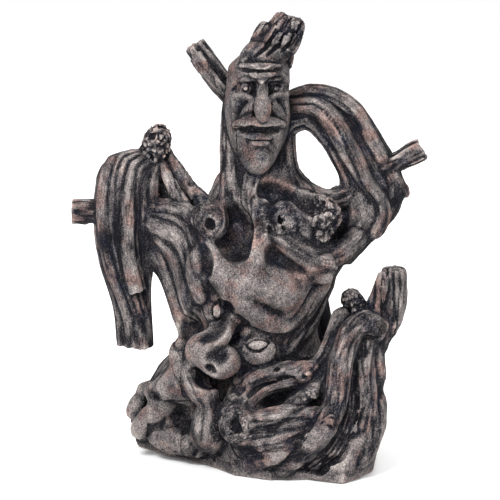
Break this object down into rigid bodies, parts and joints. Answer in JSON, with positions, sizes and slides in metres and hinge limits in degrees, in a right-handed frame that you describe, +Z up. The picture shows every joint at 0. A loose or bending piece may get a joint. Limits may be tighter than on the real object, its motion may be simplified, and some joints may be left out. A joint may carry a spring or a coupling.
{
  "type": "clay tree spirit figure",
  "caption": "Free-standing hand-built clay figure of a tree spirit with root-strand arms, a face on the trunk and a rooted base.",
  "frame": {"origin": "middle of the figure's box, on the surface that it stands on", "axes": "+X to the viewer's right, +Y to the back, +Z up; the face looks along -Y"},
  "size_m": [0.2814, 0.162, 0.3603],
  "materials": {
    "washed_clay": "matt fired clay under a blue-black wash, dry-brushed ash grey with rust patches",
    "burl_clay": "matt fired clay, torn and stippled, dry-brushed pale on its crumbs",
    "bare_clay": "matt fired clay, wiped flat underneath, dark wash on its edge"
  },
  "bodies": {
    "root": {"base_plinth": "bare_clay", "base_mound": "washed_clay", "trunk_core": "washed_clay", "torso": "washed_clay", "torso_lobe": "washed_clay", "head": "washed_clay", "crest_left": "washed_clay", "crest_mid": "washed_clay", "crest_right": "washed_clay", "crest_back": "washed_clay", "brow_fold": "washed_clay", "head_eyes": "washed_clay", "nose": "washed_clay", "moustache": "washed_clay", "lips": "washed_clay", "neck_strands": "washed_clay", "neck_ridge": "washed_clay", "rear_branch": "washed_clay", "elbow_bulge": "washed_clay", "upper_arm": "washed_clay", "under_arm": "washed_clay", "shoulder_burl": "burl_clay", "collar_strap": "washed_clay", "chest_knots": "burl_clay", "elbow_stub": "washed_clay", "burl_stems": "washed_clay", "arm_web": "washed_clay", "top_burl": "burl_clay", "side_stub": "washed_clay", "trunk_nose": "washed_clay", "trunk_eyes": "washed_clay", "tall_stub": "washed_clay", "root_knots": "burl_clay", "knot_collar": "burl_clay", "back_strands": "washed_clay", "right_arm_1": "washed_clay", "right_arm_2": "washed_clay", "right_arm_3": "washed_clay", "right_arm_4": "washed_clay", "right_arm_5": "washed_clay", "left_arm_1": "washed_clay", "left_arm_2": "washed_clay", "left_arm_3": "washed_clay", "left_arm_4": "washed_clay", "drape_1": "washed_clay", "drape_2": "washed_clay", "drape_3": "washed_clay", "drape_4": "washed_clay", "drape_5": "washed_clay", "drape_6": "washed_clay", "left_root_1": "washed_clay", "left_root_2": "washed_clay", "left_root_3": "washed_clay", "root_1": "washed_clay", "root_2": "washed_clay", "root_3": "washed_clay", "root_4": "washed_clay", "root_5": "washed_clay", "root_6": "washed_clay", "root_7": "washed_clay"}
  },
  "joints": []
}
